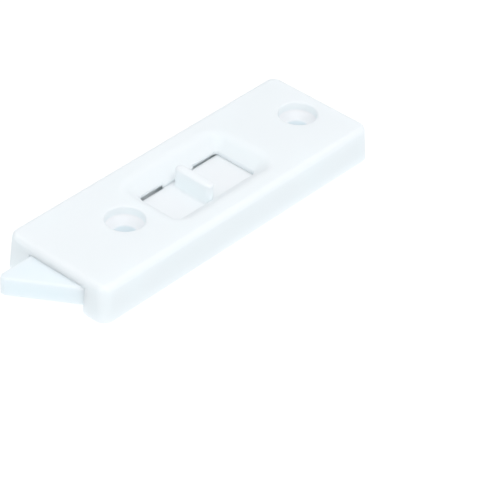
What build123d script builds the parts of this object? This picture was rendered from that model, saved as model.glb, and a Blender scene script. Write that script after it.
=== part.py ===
from build123d import *
import os
from math import tan, radians

# Surface-mounted tilt latch for a hung window sash.  Millimetres.
# +Z is up out of the mounting face, +X runs from the bolt end to the plain end.
# X below is measured from the middle of the housing.  The exported pieces are shifted
# by -ORIGIN_X, which puts the origin on the mounting face midway between the screw holes.

# housing, outside
LENGTH, WIDTH = 80.4, 27.6    # at the mounting face
HEIGHT = 8.3
DRAFT_BOLT_END = 3.83         # degrees
DRAFT_PLAIN_END = 4.42
DRAFT_SIDE = 2.39
CORNER_R = 2.4                # upright corners
TOP_R = 1.3                   # top edge

# screw holes: a short straight recess, then an 82 degree countersink
HOLE_XS = (-20.2, 32.2)       # near the bolt end, near the plain end
ORIGIN_X = sum(HOLE_XS) / 2
HOLE_R = 2.7
RECESS_R = 4.15
RECESS_Z = HEIGHT - 1.95      # foot of the straight recess
RECESS_LIP_R = 0.3
RECESS_FOOT_R = 0.8           # rounding between the straight recess and the cone
CONE_HALF_ANGLE = 41.0
BOSS_R = 3.6
BOSS_PAD_R = 5.2
BOSS_PAD_Z = 4.9

# dished thumb recess and its slot
DISH_X0, DISH_X1, DISH_HALF_W, DISH_CORNER_R = -13.75, 15.85, 8.9, 4.0
SLOT_X0, SLOT_X1, SLOT_Y0, SLOT_Y1, SLOT_CORNER_R = -10.6, 13.1, -5.5, 5.72, 1.2
DISH_DEPTH = 2.78
SLOT_TOP_Z = HEIGHT - DISH_DEPTH
LIP = 0.72                    # depth of the slot's upright edge
LIP_PLAIN_END = 0.93          # the same, at the slot's plain end
DISH_RIM_R = 3.0

# short tongue on the slot's +Y side, reaching down to the slide plate
TONGUE_X0, TONGUE_X1 = -3.3, 5.5
TONGUE_Y = 5.3                # face of the tongue
TONGUE_GAP = 0.05

# housing, inside
CEILING_Z = 6.05              # underside of the top wall
CAVITY_X0, CAVITY_X1 = -38.2, 38.0
CAVITY_HALF_W = 11.8
CAVITY_CORNER_R = 1.0
CHANNEL_Y, CHANNEL_HALF_W = -0.33, 7.62   # bolt channel and the notch in the end wall
CHANNEL_Y0 = CHANNEL_Y - CHANNEL_HALF_W
CHANNEL_Y1 = CHANNEL_Y + CHANNEL_HALF_W
RIB_T = 1.3
DISH_BLOCK_X0, DISH_BLOCK_X1 = -15.6, 17.6
NOTCH_FOOT_R = 1.0

# back plate and the heat-formed stakes that hold it
PLATE_Z0, PLATE_Z1 = 0.5, 1.5
PLATE_GAP = 0.15
PLATE_CORNER_R = 0.9
STAKES = [(-31.0, 10.0), (-31.0, -10.0), (21.5, 10.0), (21.5, -10.0)]   # x, y
STAKE_R = 1.05
STAKE_HOLE_R = 1.12
STAKE_HEAD_R = 1.7
STAKE_HEAD_Z = 0.12
STAKE_HEAD_CHAMFER = 0.25
STAKE_BLOCK_L = 5.0

# bolt, lying nearer the -Y side of its channel
TRAVEL = 8.6
STOP_GAP = 0.1
BOLT_Y, BOLT_HALF_W = -0.4, 7.45
BOLT_Y0, BOLT_Y1 = BOLT_Y - BOLT_HALF_W, BOLT_Y + BOLT_HALF_W
BOLT_Z0 = 1.7
NOSE_X1 = -34.2               # where the tall nose steps down
NOSE_Z1 = 5.95
BEVEL_X = -39.75              # where the bevel meets the -Y side
TIP_X, TIP_Y0, TIP_Y1 = -48.5, 5.35, 6.45
TIP_BACK = 0.9                # length in X of the slant on the tip's +Y side
TIP_R = 0.45                  # upright edges at the tip
NOSE_TOP_R, NOSE_FOOT_R = 0.55, 0.2
BODY_Z1 = 4.41                # top of the slide plate
NECK_X0, NECK_X1 = -13.6, -3.3
NECK_HALF_W = 5.6
NECK_LIFT = 0.4               # underside of the neck above the bolt's underside
POCKET_END_WALL, POCKET_SIDE_WALL = 1.6, 1.4
POCKET_OVERRUN = 1.0          # how far the pocket runs past the neck
SLIDE_X1 = 17.7
SLIDE_Y1 = 5.5                # +Y edge of the slide plate
SLIDE_T = 1.2
RAIL_T = 1.4
TAIL_X1 = HOLE_XS[1] - BOSS_R - TRAVEL - STOP_GAP
TAIL_Z1 = 4.7
BOSS_SLOT_R = 3.85            # half width of the slot round the screw boss

# thumb tab, moulded in one with the bolt: full-round ends, soft top edge
TAB_X0, TAB_X1 = -1.34, 0.78
TAB_Y0, TAB_Y1 = -5.32, 4.5
TAB_Z1 = 9.05
TAB_SINK = 0.4                # depth of its root inside the slide plate
TAB_EDGE_R = 0.5
TAB_FOOT_R = 0.5

# return spring and its peg on the bolt's tail
SPRING_Y, SPRING_Z = 5.3, 3.2
WIRE_R = 0.15
SPRING_R = 1.45               # to the wire's centre
SPRING_TURNS = 15
SPRING_END_GAP = 0.02
PEG_R, PEG_L = 1.1, 3.0
PEG_CHAMFER = 0.3

OVERLAP = 0.5                 # how far a block runs into its neighbour
TOL = 0.01                    # for picking edges by place or size


def slab(x0, x1, y0, y1, z0, z1):
    """Axis-aligned block from its low and high corners."""
    return Pos((x0 + x1) / 2, (y0 + y1) / 2, (z0 + z1) / 2) * Box(x1 - x0, y1 - y0, z1 - z0)


def rod(x, y, radius, z0, z1):
    """Upright cylinder."""
    return Pos(x, y, (z0 + z1) / 2) * Cylinder(radius, z1 - z0)


def rounded_rect(x0, x1, y0, y1, radius, z):
    centre = Pos((x0 + x1) / 2, (y0 + y1) / 2)
    return Plane.XY.offset(z) * centre * RectangleRounded(x1 - x0, y1 - y0, radius)


def outer_outline(z):
    """Drafted outside of the housing at height z."""
    side = WIDTH / 2 - tan(radians(DRAFT_SIDE)) * z
    return rounded_rect(-LENGTH / 2 + tan(radians(DRAFT_BOLT_END)) * z,
                        LENGTH / 2 - tan(radians(DRAFT_PLAIN_END)) * z,
                        -side, side, CORNER_R, z)


def dish_outline(t):
    """Dish outline, t = 0 at the slot's upper edge and 1 at the top face."""
    low = (SLOT_X0, SLOT_X1, SLOT_Y0, SLOT_Y1, SLOT_CORNER_R)
    high = (DISH_X0, DISH_X1, -DISH_HALF_W, DISH_HALF_W, DISH_CORNER_R)
    sizes = [a + (b - a) * t for a, b in zip(low, high)]
    return rounded_rect(*sizes, HEIGHT - DISH_DEPTH * (1 - t))


def cut_dish(housing):
    """Sloping dish with a rounded rim, and the slot through its floor."""
    # the cutter carries on above the top face
    housing = housing - loft([dish_outline(0), dish_outline(1.25)], ruled=True)
    margin = 0.2
    rim = [e for e in housing.edges().filter_by_position(Axis.Z, HEIGHT - TOL, HEIGHT + TOL)
           if DISH_X0 - margin <= e.center().X <= DISH_X1 + margin
           and abs(e.center().Y) <= DISH_HALF_W + margin]
    housing = fillet(rim, DISH_RIM_R)
    outline = rounded_rect(SLOT_X0, SLOT_X1, SLOT_Y0, SLOT_Y1, SLOT_CORNER_R, 0.0)
    return housing - extrude(outline, SLOT_TOP_Z + 0.05)


def make_cavity():
    """Space inside the housing, open underneath, less the ribs, blocks and bosses."""
    cavity = extrude(rounded_rect(CAVITY_X0, CAVITY_X1, -CAVITY_HALF_W, CAVITY_HALF_W,
                                  CAVITY_CORNER_R, -1.0), CEILING_Z + 1.0)
    # ribs along both sides of the channel
    rib_x0, rib_x1 = CAVITY_X0 - 1, CAVITY_X1 + 1
    keep = slab(rib_x0, rib_x1, CHANNEL_Y1, CHANNEL_Y1 + RIB_T, PLATE_Z1, HEIGHT)
    keep += slab(rib_x0, rib_x1, CHANNEL_Y0 - RIB_T, CHANNEL_Y0, PLATE_Z1, HEIGHT)
    # block under the dish, deeper at the slot's plain end
    for x0, lip in ((DISH_BLOCK_X0, LIP), (SLOT_X1, LIP_PLAIN_END)):
        keep += slab(x0, DISH_BLOCK_X1, CHANNEL_Y0 - OVERLAP, CHANNEL_Y1 + OVERLAP,
                     SLOT_TOP_Z - lip, HEIGHT)
    for x in HOLE_XS:
        keep += rod(x, 0, BOSS_R, 0, HEIGHT)
        keep += rod(x, 0, BOSS_PAD_R, BOSS_PAD_Z, HEIGHT)
    for x, y in STAKES:
        side = 1 if y > 0 else -1
        y0, y1 = sorted((CHANNEL_Y + side * (CHANNEL_HALF_W + OVERLAP),
                         side * (CAVITY_HALF_W + 1)))
        keep += slab(x - STAKE_BLOCK_L / 2, x + STAKE_BLOCK_L / 2, y0, y1, PLATE_Z1, HEIGHT)
    return cavity - keep


def make_tongue():
    """Tongue that carries the dish's slope a little further down."""
    slope = DISH_DEPTH / (DISH_HALF_W - SLOT_Y1)
    foot_z = BODY_Z1 + TONGUE_GAP
    root_y = CHANNEL_Y1 + 0.2     # inside the rib
    profile = Polyline(           # y, z
        (TONGUE_Y, foot_z),
        (TONGUE_Y, SLOT_TOP_Z - slope * (SLOT_Y1 - TONGUE_Y)),
        (SLOT_Y1 + 0.1, SLOT_TOP_Z + slope * 0.1),
        (root_y, SLOT_TOP_Z),
        (root_y, foot_z),
        close=True)
    return extrude(Plane.YZ.offset(TONGUE_X0) * make_face(profile), TONGUE_X1 - TONGUE_X0)


def make_notch():
    """Notch in the bolt-end wall, flaring out round the wall's rounded feet."""
    x0, x1 = -LENGTH / 2 - 5, CAVITY_X0 + OVERLAP
    notch = slab(x0, x1, CHANNEL_Y0, CHANNEL_Y1, -1, CEILING_Z)
    for edge, side in ((CHANNEL_Y1, 1), (CHANNEL_Y0, -1)):
        outer = edge + side * NOTCH_FOOT_R
        foot = slab(x0, x1, *sorted((edge, outer)), -1, NOTCH_FOOT_R)
        foot -= Pos(-LENGTH / 2, outer, NOTCH_FOOT_R) * Rot(0, 90, 0) * Cylinder(NOTCH_FOOT_R, 30)
        notch += foot
    return notch


def round_recess(housing, z, radius):
    """Round the screw recesses' circular edges at height z."""
    rings = [e for e in housing.edges().filter_by(GeomType.CIRCLE)
             if abs(e.radius - RECESS_R) < TOL and abs(e.center().Z - z) < TOL]
    return fillet(rings, radius)


def cut_screw_holes(housing):
    cone_h = (RECESS_R - HOLE_R) / tan(radians(CONE_HALF_ANGLE))
    for x in HOLE_XS:
        housing = housing - rod(x, 0, HOLE_R, -1, HEIGHT + 1)
        housing = housing - rod(x, 0, RECESS_R, RECESS_Z, HEIGHT + 1)
        housing = housing - Pos(x, 0, RECESS_Z - cone_h / 2) * Cone(HOLE_R, RECESS_R, cone_h)
    housing = round_recess(housing, HEIGHT, RECESS_LIP_R)
    return round_recess(housing, RECESS_Z, RECESS_FOOT_R)


def add_stakes(housing):
    """Stakes formed over the back plate; each shank runs into its head and its block."""
    for x, y in STAKES:
        housing = housing + rod(x, y, STAKE_R, PLATE_Z0 - 0.1, PLATE_Z1 + 0.2)
        head = rod(x, y, STAKE_HEAD_R, STAKE_HEAD_Z, PLATE_Z0)
        head = chamfer(head.edges().group_by(Axis.Z)[0], STAKE_HEAD_CHAMFER)
        housing = housing + head
    return housing


def make_housing():
    housing = loft([outer_outline(0), outer_outline(HEIGHT)], ruled=True)
    housing = fillet(housing.edges().group_by(Axis.Z)[-1], TOP_R)
    housing = cut_dish(housing)
    housing = housing - make_cavity()
    housing = housing + make_tongue()
    housing = housing - make_notch()
    housing = cut_screw_holes(housing)
    return add_stakes(housing)


def make_back_plate():
    half_w = CAVITY_HALF_W - PLATE_GAP
    outline = rounded_rect(CAVITY_X0 + PLATE_GAP, CAVITY_X1 - PLATE_GAP, -half_w, half_w,
                           PLATE_CORNER_R, PLATE_Z0)
    plate = extrude(outline, PLATE_Z1 - PLATE_Z0)
    for x in HOLE_XS:
        plate = plate - rod(x, 0, BOSS_R + PLATE_GAP, -1, 3)
    for x, y in STAKES:
        plate = plate - rod(x, y, STAKE_HOLE_R, -1, 3)
    return plate


def make_nose():
    """Tall bevelled end of the bolt, soft-edged except where it meets the body."""
    plan = Polyline((NOSE_X1, BOLT_Y0), (BEVEL_X, BOLT_Y0), (TIP_X, TIP_Y0), (TIP_X, TIP_Y1),
                    (TIP_X + TIP_BACK, BOLT_Y1), (NOSE_X1, BOLT_Y1), close=True)
    nose = extrude(Plane.XY.offset(BOLT_Z0) * make_face(plan), NOSE_Z1 - BOLT_Z0)
    nose = fillet([e for e in nose.edges().filter_by(Axis.Z) if e.center().X < TIP_X + 1.5], TIP_R)
    for level, radius in ((-1, NOSE_TOP_R), (0, NOSE_FOOT_R)):
        nose = fillet([e for e in nose.edges().group_by(Axis.Z)[level]
                       if e.center().X < NOSE_X1 - 0.2], radius)
    return nose


def make_body():
    """Bolt behind the nose: front block, neck, slide plate on two rails, tail."""
    slide_x1 = SLIDE_X1 + 0.2     # runs into the tail
    body = slab(NOSE_X1 - OVERLAP, NECK_X0, BOLT_Y0, BOLT_Y1, BOLT_Z0, BODY_Z1)
    body += slab(NECK_X0 - OVERLAP, NECK_X1 + OVERLAP, BOLT_Y - NECK_HALF_W,
                 BOLT_Y + NECK_HALF_W, BOLT_Z0 + NECK_LIFT, BODY_Z1)
    body += slab(NECK_X1, slide_x1, BOLT_Y0, SLIDE_Y1, BODY_Z1 - SLIDE_T, BODY_Z1)
    for y0 in (BOLT_Y0, SLIDE_Y1 - RAIL_T):
        body += slab(NECK_X1, slide_x1, y0, y0 + RAIL_T, BOLT_Z0, BODY_Z1)
    body += slab(SLIDE_X1, TAIL_X1, BOLT_Y0, BOLT_Y1, BOLT_Z0, TAIL_Z1)
    return body


def make_boss_slot():
    """Long slot round the bolt-end screw boss; its closed ends are the travel stops."""
    x0 = HOLE_XS[0] - TRAVEL - STOP_GAP
    x1 = HOLE_XS[0] + BOSS_R + STOP_GAP - BOSS_SLOT_R
    slot = slab(x0, x1, -BOSS_SLOT_R, BOSS_SLOT_R, 0, HEIGHT)
    return slot + rod(x0, 0, BOSS_SLOT_R, 0, HEIGHT) + rod(x1, 0, BOSS_SLOT_R, 0, HEIGHT)


def add_thumb_tab(bolt):
    plan = SlotOverall(TAB_Y1 - TAB_Y0, TAB_X1 - TAB_X0, rotation=90)
    base_z = BODY_Z1 - TAB_SINK
    place = Plane.XY.offset(base_z) * Pos((TAB_X0 + TAB_X1) / 2, (TAB_Y0 + TAB_Y1) / 2)
    tab = extrude(place * plan, TAB_Z1 - base_z)
    tab = fillet(tab.edges().group_by(Axis.Z)[-1], TAB_EDGE_R)
    bolt = bolt + tab
    margin = 0.1
    root = [e for e in bolt.edges()
            if abs(e.center().Z - BODY_Z1) < TOL
            and TAB_X0 - margin < e.center().X < TAB_X1 + margin
            and TAB_Y0 - margin < e.center().Y < TAB_Y1 + margin
            and abs(e.bounding_box().size.Z) < TOL]
    return fillet(root, TAB_FOOT_R)


def make_latch_bolt():
    bolt = make_nose() + make_body()
    bolt = bolt - make_boss_slot()
    # coring pocket under the neck keeps the moulding's walls even
    pocket_half_w = NECK_HALF_W - POCKET_SIDE_WALL
    bolt = bolt - slab(NECK_X0 + POCKET_END_WALL, NECK_X1 + POCKET_OVERRUN,
                       BOLT_Y - pocket_half_w, BOLT_Y + pocket_half_w, 0, BODY_Z1 - SLIDE_T)
    bolt = add_thumb_tab(bolt)
    # spring peg, its root sunk into the tail
    peg = Pos(TAIL_X1 + PEG_L / 2 - 0.1, SPRING_Y, SPRING_Z) * Rot(0, 90, 0)
    peg = peg * Cylinder(PEG_R, PEG_L + 0.2)
    peg = chamfer(peg.edges().group_by(Axis.X)[-1], PEG_CHAMFER)
    return bolt + peg


def make_return_spring():
    """Coil between the bolt's tail and the plain-end wall."""
    x0 = TAIL_X1 + WIRE_R + SPRING_END_GAP
    length = CAVITY_X1 - WIRE_R - SPRING_END_GAP - x0
    coil = Helix(pitch=length / SPRING_TURNS, height=length, radius=SPRING_R,
                 center=(x0, SPRING_Y, SPRING_Z), direction=(1, 0, 0))
    wire = Plane(origin=coil @ 0, z_dir=coil % 0) * Circle(WIRE_R)
    return sweep(wire, path=coil, is_frenet=True)


PARTS = {
    "housing": make_housing,
    "latch_bolt": make_latch_bolt,
    "return_spring": make_return_spring,
    "back_plate": make_back_plate,
}
os.makedirs("parts", exist_ok=True)
for name, make in PARTS.items():
    export_step(Pos(-ORIGIN_X, 0, 0) * make(), f"parts/{name}.step")
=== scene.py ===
# A sliding latch: white moulded housing and bolt, coiled return spring, zinc-plated back plate.
# Metres, +Z up, on a floor just under z = 0. The bolt slides along X with its nose towards -X.
# The housing's two screw holes run along Z, at equal distances either side of x = 0.
import bpy
import bmesh
import math
from mathutils import Matrix, Vector


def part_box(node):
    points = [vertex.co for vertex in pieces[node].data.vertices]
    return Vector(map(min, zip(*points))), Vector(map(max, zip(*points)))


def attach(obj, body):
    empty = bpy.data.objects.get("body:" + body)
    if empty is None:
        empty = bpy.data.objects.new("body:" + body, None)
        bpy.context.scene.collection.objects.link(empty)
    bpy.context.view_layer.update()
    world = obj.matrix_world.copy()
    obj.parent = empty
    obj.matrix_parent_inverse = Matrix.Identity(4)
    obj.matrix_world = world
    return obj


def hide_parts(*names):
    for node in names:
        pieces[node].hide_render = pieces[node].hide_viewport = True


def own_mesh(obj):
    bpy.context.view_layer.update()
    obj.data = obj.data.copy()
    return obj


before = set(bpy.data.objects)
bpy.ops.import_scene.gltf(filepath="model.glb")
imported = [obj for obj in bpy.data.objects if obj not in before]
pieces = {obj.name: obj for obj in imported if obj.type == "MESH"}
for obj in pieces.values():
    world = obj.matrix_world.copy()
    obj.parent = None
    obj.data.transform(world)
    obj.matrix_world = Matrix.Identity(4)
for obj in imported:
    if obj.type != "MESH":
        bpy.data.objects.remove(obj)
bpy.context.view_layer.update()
scene = bpy.context.scene
scene.view_settings.view_transform = "Standard"
scene.view_settings.look = "None"
scene.view_settings.gamma = 1.7  # soft, high-key tone curve


# ------------------------------------------------------------ node helpers
def add_node(tree, kind, inputs=None, **attributes):
    """Add a shader node. Inputs, by socket name or index, are sockets to link or values to set."""
    made = tree.nodes.new("ShaderNode" + kind)
    for name, value in attributes.items():
        setattr(made, name, value)
    for key, value in (inputs or {}).items():
        if isinstance(value, bpy.types.NodeSocket):
            tree.links.new(value, made.inputs[key])
        else:
            made.inputs[key].default_value = value
    return made


def new_material(name):
    """An empty material and its node tree."""
    material = bpy.data.materials.new(name)
    material.use_nodes = True
    material.node_tree.nodes.clear()
    return material, material.node_tree


def set_surface(tree, shader):
    add_node(tree, "OutputMaterial", {"Surface": shader})


def object_position(tree):
    return add_node(tree, "TexCoord").outputs["Object"]


def noise(tree, position, scale, detail, roughness):
    inputs = {"Vector": position, "Scale": scale, "Detail": detail, "Roughness": roughness}
    return add_node(tree, "TexNoise", inputs).outputs["Fac"]


def color_ramp(tree, factor, low_color, high_color, start=0.3, end=0.7):
    """Blend two colours as the factor goes from start to end; noise mostly spans the defaults."""
    made = add_node(tree, "ValToRGB", {"Fac": factor})
    low, high = made.color_ramp.elements
    low.position, low.color = start, low_color
    high.position, high.color = end, high_color
    return made.outputs["Color"]


def map_range(tree, value, source, target):
    """Map the (start, end) pair source onto the pair target, clamped outside it."""
    inputs = {
        "Value": value,
        "From Min": source[0], "From Max": source[1],
        "To Min": target[0], "To Max": target[1],
    }
    return add_node(tree, "MapRange", inputs).outputs["Result"]


def calculate(tree, operation, *operands):
    inputs = dict(enumerate(operands))
    return add_node(tree, "Math", inputs, operation=operation).outputs["Value"]


def mix_color(tree, factor, first, second):
    inputs = {"Factor": factor, 6: first, 7: second}  # 6 and 7 are the colour sockets
    return add_node(tree, "Mix", inputs, data_type="RGBA").outputs[2]


def mix_shader(tree, factor, first, second):
    return add_node(tree, "MixShader", {"Fac": factor, 1: first, 2: second}).outputs["Shader"]


def bump(tree, height, strength, distance, below=None):
    """Bump normal, laid over the normal `below` if there is one."""
    inputs = {"Height": height, "Strength": strength, "Distance": distance}
    if below is not None:
        inputs["Normal"] = below
    return add_node(tree, "Bump", inputs).outputs["Normal"]


# --------------------------------------------------------- moulded plastic
PLASTIC_SPECULAR = 0.30

# Screw holes: the paired values are where each zone's mask starts and stops fading.
SCREW_X = 0.0262                  # hole centres at plus and minus this X, y = 0
SEAT_RADIUS = (0.00405, 0.00425)
SEAT_TOP = (0.0062, 0.0067)
SEAT_BOTTOM = (0.0041, 0.0046)
# painted highlight: the countersinks' base colour is lighter than the plastic, standing in for
# light falling on them
SEAT_PAINTED_HIGHLIGHT = (0.97, 0.995, 1.0, 1)
SEAT_SPECULAR = 1.0
SEAT_ROUGHNESS = 0.50
SEAT_SHEEN_ROUGHNESS = 0.7
BORE_RADIUS = (0.0029, 0.0031)
BORE_TOP = (0.0042, 0.0048)
# painted shade: the bores' base colour is darker and bluer, standing in for shade inside the holes
BORE_PAINTED_SHADE = (0.73, 0.86, 0.92, 1)

# Bolt nose: painted shade, full from the X given below on towards -X.
NOSE_SHADE_X = -0.0462
NOSE_SHADE_FADE = 0.003                 # length over which the painted shade dies out
NOSE_SHADE_TONE = 0.90                  # brightness of the nose's painted shade


def moulded_plastic(name, low_color, high_color, roughness, finish):
    """White satin thermoplastic with slight tonal drift, uneven sheen and fine grain.

    finish(tree, shader, position, color, roughness) wires up the last two.
    """
    material, tree = new_material(name)
    position = object_position(tree)
    drift = noise(tree, position, scale=55.0, detail=3.0, roughness=0.5)
    sheen = noise(tree, position, scale=160.0, detail=4.0, roughness=0.55)
    grain = noise(tree, position, scale=5200.0, detail=2.0, roughness=0.5)
    sink = noise(tree, position, scale=120.0, detail=1.0, roughness=0.4)
    grain_normal = bump(tree, grain, strength=0.10, distance=0.00003)
    shader = add_node(tree, "BsdfPrincipled", {
        "IOR": 1.49,
        "Specular IOR Level": PLASTIC_SPECULAR,
        "Subsurface Weight": 1.0,
        "Subsurface Radius": (1.0, 1.0, 1.0),
        "Subsurface Scale": 0.0025,
        "Normal": bump(tree, sink, strength=0.12, distance=0.0002, below=grain_normal),
    })
    color = color_ramp(tree, drift, low_color, high_color)
    satin = map_range(tree, sheen, (0.3, 0.7), (roughness - 0.05, roughness + 0.06))
    finish(tree, shader, position, color, satin)
    set_surface(tree, shader.outputs["BSDF"])
    return material


def screw_hole_gloss_and_painted_light(tree, shader, position, color, roughness):
    """Screw countersinks with a painted highlight, a lighter base colour, and more specular, sheen
    and a steadier roughness than the grained faces; the bores below get painted shade, a darker
    bluer base colour.
    """
    axes = add_node(tree, "SeparateXYZ", {"Vector": position}).outputs
    side_x = calculate(tree, "ABSOLUTE", axes["X"])
    offset = add_node(tree, "CombineXYZ", {
        "X": calculate(tree, "SUBTRACT", side_x, SCREW_X),
        "Y": axes["Y"],
    }).outputs["Vector"]
    radius = add_node(tree, "VectorMath", {0: offset}, operation="LENGTH").outputs["Value"]

    near_axis = map_range(tree, radius, SEAT_RADIUS, (1.0, 0.0))
    under_top = map_range(tree, axes["Z"], SEAT_TOP, (1.0, 0.0))
    above_bottom = map_range(tree, axes["Z"], SEAT_BOTTOM, (0.0, 1.0))
    seat = calculate(tree, "MULTIPLY", near_axis, under_top)
    seat = calculate(tree, "MULTIPLY", seat, above_bottom)

    # mask for the painted shade in the bores
    in_bore = map_range(tree, radius, BORE_RADIUS, (1.0, 0.0))
    under_seat = map_range(tree, axes["Z"], BORE_TOP, (1.0, 0.0))
    bore = calculate(tree, "MULTIPLY", in_bore, under_seat)

    # painted highlight: lighter base colour on the countersinks
    seat_painted_highlight = mix_color(tree, seat, color, SEAT_PAINTED_HIGHLIGHT)
    # sockets 2 and 3 of the mix node are its plain numbers
    smoothed = add_node(
        tree, "Mix", {"Factor": seat, 2: roughness, 3: SEAT_ROUGHNESS}, data_type="FLOAT"
    ).outputs[0]
    # the sheen is a soft bloom that keeps the cone's flanks as light as its middle
    finished = {
        "Base Color": mix_color(tree, bore, seat_painted_highlight, BORE_PAINTED_SHADE),
        "Specular IOR Level": map_range(
            tree, seat, (0.0, 1.0), (PLASTIC_SPECULAR, SEAT_SPECULAR)),
        "Sheen Weight": map_range(tree, seat, (0.0, 1.0), (0.0, 1.0)),
        "Roughness": smoothed,
    }
    for name, socket in finished.items():
        tree.links.new(socket, shader.inputs[name])
    shader.inputs["Sheen Roughness"].default_value = SEAT_SHEEN_ROUGHNESS


def shaded_nose_finish(tree, shader, position, color, roughness):
    """Nose base colour darkened a little towards -X as painted shade."""
    along = add_node(tree, "SeparateXYZ", {"Vector": position}).outputs["X"]
    tone = map_range(tree, along, (NOSE_SHADE_X, NOSE_SHADE_X + NOSE_SHADE_FADE), (NOSE_SHADE_TONE, 1.0))
    shaded = add_node(tree, "VectorMath", {0: color, "Scale": tone}, operation="SCALE")
    tree.links.new(shaded.outputs["Vector"], shader.inputs["Base Color"])
    tree.links.new(roughness, shader.inputs["Roughness"])


# ------------------------------------------------------------------ metals
def bare_metal(tree, marks, color, roughness_range, bump_strength, bump_distance):
    """Finish a metal whose roughness and relief both follow the noise `marks`."""
    shader = add_node(tree, "BsdfPrincipled", {
        "Metallic": 1.0,
        "Base Color": color,
        "Roughness": map_range(tree, marks, (0.3, 0.7), roughness_range),
        "Normal": bump(tree, marks, bump_strength, bump_distance),
    })
    set_surface(tree, shader.outputs["BSDF"])


def drawn_wire(name):
    """Cold-drawn spring steel with fine mottled marks."""
    material, tree = new_material(name)
    marks = noise(tree, object_position(tree), scale=900.0, detail=5.0, roughness=0.6)
    color = color_ramp(tree, marks, (0.36, 0.36, 0.37, 1), (0.55, 0.55, 0.56, 1))
    bare_metal(tree, marks, color, roughness_range=(0.22, 0.38),
               bump_strength=0.15, bump_distance=0.00002)
    return material


def zinc_sheet(name):
    """Bright zinc on rolled sheet: rolling lines along X and a faint spangle."""
    material, tree = new_material(name)
    position = object_position(tree)
    # long in X and fine across it
    stretched = add_node(tree, "Mapping", {"Vector": position, "Scale": (12.0, 900.0, 900.0)})
    lines = noise(tree, stretched.outputs["Vector"], scale=1.0, detail=4.0, roughness=0.6)
    spangle = add_node(tree, "TexVoronoi", {"Vector": position, "Scale": 260.0})
    line_color = color_ramp(tree, lines, (0.50, 0.51, 0.53, 1), (0.66, 0.67, 0.69, 1))
    spangle_color = color_ramp(
        tree, spangle.outputs["Distance"],
        (0.66, 0.67, 0.70, 1), (0.52, 0.53, 0.55, 1), start=0.0, end=1.0)
    color = mix_color(tree, 0.3, line_color, spangle_color)
    bare_metal(tree, lines, color, roughness_range=(0.26, 0.42),
               bump_strength=0.12, bump_distance=0.00003)
    return material


housing_white = moulded_plastic(
    "housing_white",
    low_color=(0.835, 0.945, 0.982, 1), high_color=(0.845, 0.955, 0.987, 1),
    roughness=0.50, finish=screw_hole_gloss_and_painted_light)
bolt_white = moulded_plastic(
    "bolt_white",
    low_color=(0.85, 0.955, 0.985, 1), high_color=(0.86, 0.96, 0.99, 1),
    roughness=0.48, finish=shaded_nose_finish)
spring_wire = drawn_wire("spring_wire")
zinc_plate = zinc_sheet("zinc_plate")

# piece, material, slot
for piece_name, material, slot in (
    ("housing", housing_white, "housing_plastic"),
    ("latch_bolt", bolt_white, "bolt_plastic"),
    ("back_plate", zinc_plate, "zinc_plated_steel"),
):
    piece = pieces[piece_name]
    piece.data.materials.clear()
    piece.data.materials.append(material)


# ----------------------------------------------------------- return spring
WIRE_RADIUS = 0.00015
OPEN_TURNS = 12.0
CLOSED_TURNS = 1.5                 # at each end
CLOSED_PITCH = 2.06 * WIRE_RADIUS  # neighbouring closed turns all but touch
STEPS_PER_TURN = 40
WIRE_SIDES = 14
TIP_SCALE = 0.62                   # radius of the wire's end faces, relative to the wire
TIP_LENGTH = 0.3 * WIRE_RADIUS


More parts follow.
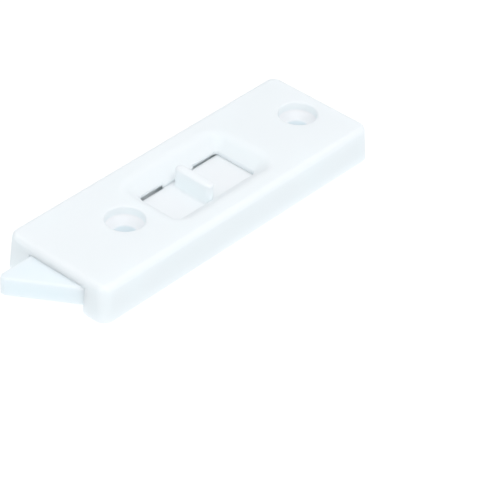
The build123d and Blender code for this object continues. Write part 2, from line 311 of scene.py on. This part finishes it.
def coil_mesh(name, low, high):
    """Compression coil along X filling the box low..high, with closed ends and tapered tips."""
    middle_y, middle_z = (low.y + high.y) / 2, (low.z + high.z) / 2
    coil_radius = (high.z - low.z) / 2 - WIRE_RADIUS
    start_x, end_x = low.x + WIRE_RADIUS, high.x - WIRE_RADIUS
    open_pitch = (end_x - start_x - 2 * CLOSED_TURNS * CLOSED_PITCH) / OPEN_TURNS
    total_turns = OPEN_TURNS + 2 * CLOSED_TURNS
    last = int(total_turns * STEPS_PER_TURN)

    def centre(step):
        turn = step / STEPS_PER_TURN
        if turn < CLOSED_TURNS:
            x = start_x + CLOSED_PITCH * turn
        elif turn > CLOSED_TURNS + OPEN_TURNS:
            x = end_x - CLOSED_PITCH * (total_turns - turn)
        else:
            x = start_x + CLOSED_PITCH * CLOSED_TURNS + open_pitch * (turn - CLOSED_TURNS)
        angle = 2 * math.pi * turn
        return Vector((x, middle_y + coil_radius * math.cos(angle),
                       middle_z + coil_radius * math.sin(angle)))

    def tangent(step):
        return (centre(min(step + 1, last)) - centre(max(step - 1, 0))).normalized()

    def bridge(first, second):
        """The quads joining two rings of vertices."""
        for j in range(WIRE_SIDES):
            following = (j + 1) % WIRE_SIDES
            yield first[j], first[following], second[following], second[j]

    mesh_builder = bmesh.new()
    rings = []
    for step in range(last + 1):
        point = centre(step)
        along = tangent(step)
        outward = Vector((0, point.y - middle_y, point.z - middle_z)).normalized()
        side = along.cross(outward).normalized()
        outward = side.cross(along).normalized()
        ring = []
        for j in range(WIRE_SIDES):
            angle = 2 * math.pi * j / WIRE_SIDES
            spoke = outward * math.cos(angle) + side * math.sin(angle)
            ring.append(mesh_builder.verts.new(point + spoke * WIRE_RADIUS))
        rings.append(ring)
    for first, second in zip(rings, rings[1:]):
        for quad in bridge(first, second):
            mesh_builder.faces.new(quad)

    for ring, step, direction in ((rings[0], 0, -1), (rings[-1], last, 1)):
        point = centre(step)
        reach = tangent(step) * direction * TIP_LENGTH
        tip = [mesh_builder.verts.new(point + (vertex.co - point) * TIP_SCALE + reach)
               for vertex in ring]
        # direction also sets the winding, reversed at the start of the wire
        for quad in bridge(ring, tip):
            mesh_builder.faces.new(quad[::direction])
        mesh_builder.faces.new(tip[::direction])

    bmesh.ops.recalc_face_normals(mesh_builder, faces=mesh_builder.faces)
    mesh = bpy.data.meshes.new(name)
    mesh_builder.to_mesh(mesh)
    mesh_builder.free()
    for polygon in mesh.polygons:
        polygon.use_smooth = True
    coil = bpy.data.objects.new(name, mesh)
    scene.collection.objects.link(coil)
    return coil


def build_spring():
    """Coil that rides with the latch, filling the spring part's box."""
    low, high = (Vector(corner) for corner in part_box("return_spring"))
    coil = coil_mesh("spring_coil", low, high)
    coil.data.materials.append(spring_wire)
    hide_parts("return_spring")
    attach(coil, "latch_body")
    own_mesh(coil)


build_spring()


# ------------------------------------------------------------------- floor
def pale_floor(name):
    """Pale light table: an even glow to the object, a soft contact shadow to the camera."""
    material, tree = new_material(name)
    glow = add_node(tree, "Emission", {"Color": (0.985, 1.095, 1.175, 1), "Strength": 1.0})
    shadow_catch = add_node(tree, "BsdfDiffuse", {"Color": (0.22, 0.22, 0.22, 1)})
    base_light = add_node(tree, "Emission", {"Strength": 0.88})
    seen = add_node(tree, "AddShader", {
        0: shadow_catch.outputs["BSDF"],
        1: base_light.outputs["Emission"],
    })
    camera_ray = add_node(tree, "LightPath").outputs["Is Camera Ray"]
    table = mix_shader(tree, camera_ray, glow.outputs["Emission"], seen.outputs["Shader"])
    # clear when looked at from below, so the underside can be seen
    backfacing = add_node(tree, "NewGeometry").outputs["Backfacing"]
    from_below = calculate(tree, "MULTIPLY", backfacing, camera_ray)
    clear = add_node(tree, "BsdfTransparent").outputs["BSDF"]
    set_surface(tree, mix_shader(tree, from_below, table, clear))
    return material


bpy.ops.mesh.primitive_plane_add(size=6.0, location=(0, 0, -0.00005))
floor = bpy.context.active_object
floor.name = "floor"
floor.data.materials.append(pale_floor("floor_pale"))


# ------------------------------------------------------------------ lights
# Soft tent: axis the light comes along and its strength (negative: from the -X side)
TENT_LOBES = (("Z", 0.43), ("X", 0.36), ("X", -0.10))

# name, azimuth and elevation in degrees, side length, watts
SOFTBOXES = (
    ("softbox_top", 220, 68, 0.8, 5.5),
    ("softbox_side", 255, 50, 0.8, 2.0),
)
SOFTBOX_DISTANCE = 0.93


def on_sphere(radius, azimuth, elevation):
    """Point at this radius from the origin; angles in radians, azimuth from +X."""
    return (radius * math.cos(elevation) * math.cos(azimuth),
            radius * math.cos(elevation) * math.sin(azimuth),
            radius * math.sin(elevation))


def build_tent():
    world = bpy.data.worlds.new("studio")
    scene.world = world
    world.use_nodes = True
    tree = world.node_tree
    background = tree.nodes["Background"]
    direction = add_node(tree, "TexCoord").outputs["Generated"]
    axes = add_node(tree, "SeparateXYZ", {"Vector": direction}).outputs
    lobes = []
    for axis, strength in TENT_LOBES:
        scaled = calculate(tree, "MULTIPLY", axes[axis], strength)
        lobes.append(calculate(tree, "MAXIMUM", scaled, 0.0))
    total = lobes[0]
    for lobe in lobes[1:]:
        total = calculate(tree, "ADD", total, lobe)
    tree.links.new(total, background.inputs["Strength"])
    # a touch cooler towards the horizon
    tint = color_ramp(tree, axes["Z"], (0.95, 1.03, 1.11, 1), (0.99, 1.01, 1.08, 1),
                      start=0.0, end=1.0)
    tree.links.new(tint, background.inputs["Color"])


def add_softbox(name, azimuth, elevation, size, watts):
    """Square light aimed at the origin."""
    light = bpy.data.lights.new(name, "AREA")
    light.shape = "SQUARE"
    light.size = size
    light.energy = watts
    light.color = (0.985, 1.0, 1.04)
    softbox = bpy.data.objects.new(name, light)
    scene.collection.objects.link(softbox)
    softbox.location = on_sphere(
        SOFTBOX_DISTANCE, math.radians(azimuth), math.radians(elevation))
    softbox.rotation_euler = (-softbox.location).to_track_quat("-Z", "Y").to_euler()


build_tent()
for softbox_row in SOFTBOXES:
    add_softbox(*softbox_row)


# ------------------------------------------------------------------ camera
CAMERA_AIM = Vector((-0.00790398, -0.017480237245, 0))
CAMERA_DISTANCE = 0.5645532804
CAMERA_AZIMUTH = 3.840303988    # radians, as are the next two
CAMERA_ELEVATION = 0.651483893
CAMERA_ROLL = 0.052111815


def add_camera():
    back = Vector(on_sphere(1, CAMERA_AZIMUTH, CAMERA_ELEVATION))
    level_right = Vector((0, 0, 1)).cross(back).normalized()
    level_up = back.cross(level_right)
    cosine, sine = math.cos(CAMERA_ROLL), math.sin(CAMERA_ROLL)
    right = level_right * cosine + level_up * sine
    up = level_up * cosine - level_right * sine

    lens = bpy.data.cameras.new("camera")
    lens.sensor_width = 36.0
    lens.lens = 201.66984
    lens.clip_start = 0.01
    lens.clip_end = 20
    camera = bpy.data.objects.new("camera", lens)
    scene.collection.objects.link(camera)
    placing = Matrix((right, up, back)).transposed().to_4x4()
    placing.translation = CAMERA_AIM + back * CAMERA_DISTANCE
    camera.matrix_world = placing
    scene.camera = camera


add_camera()
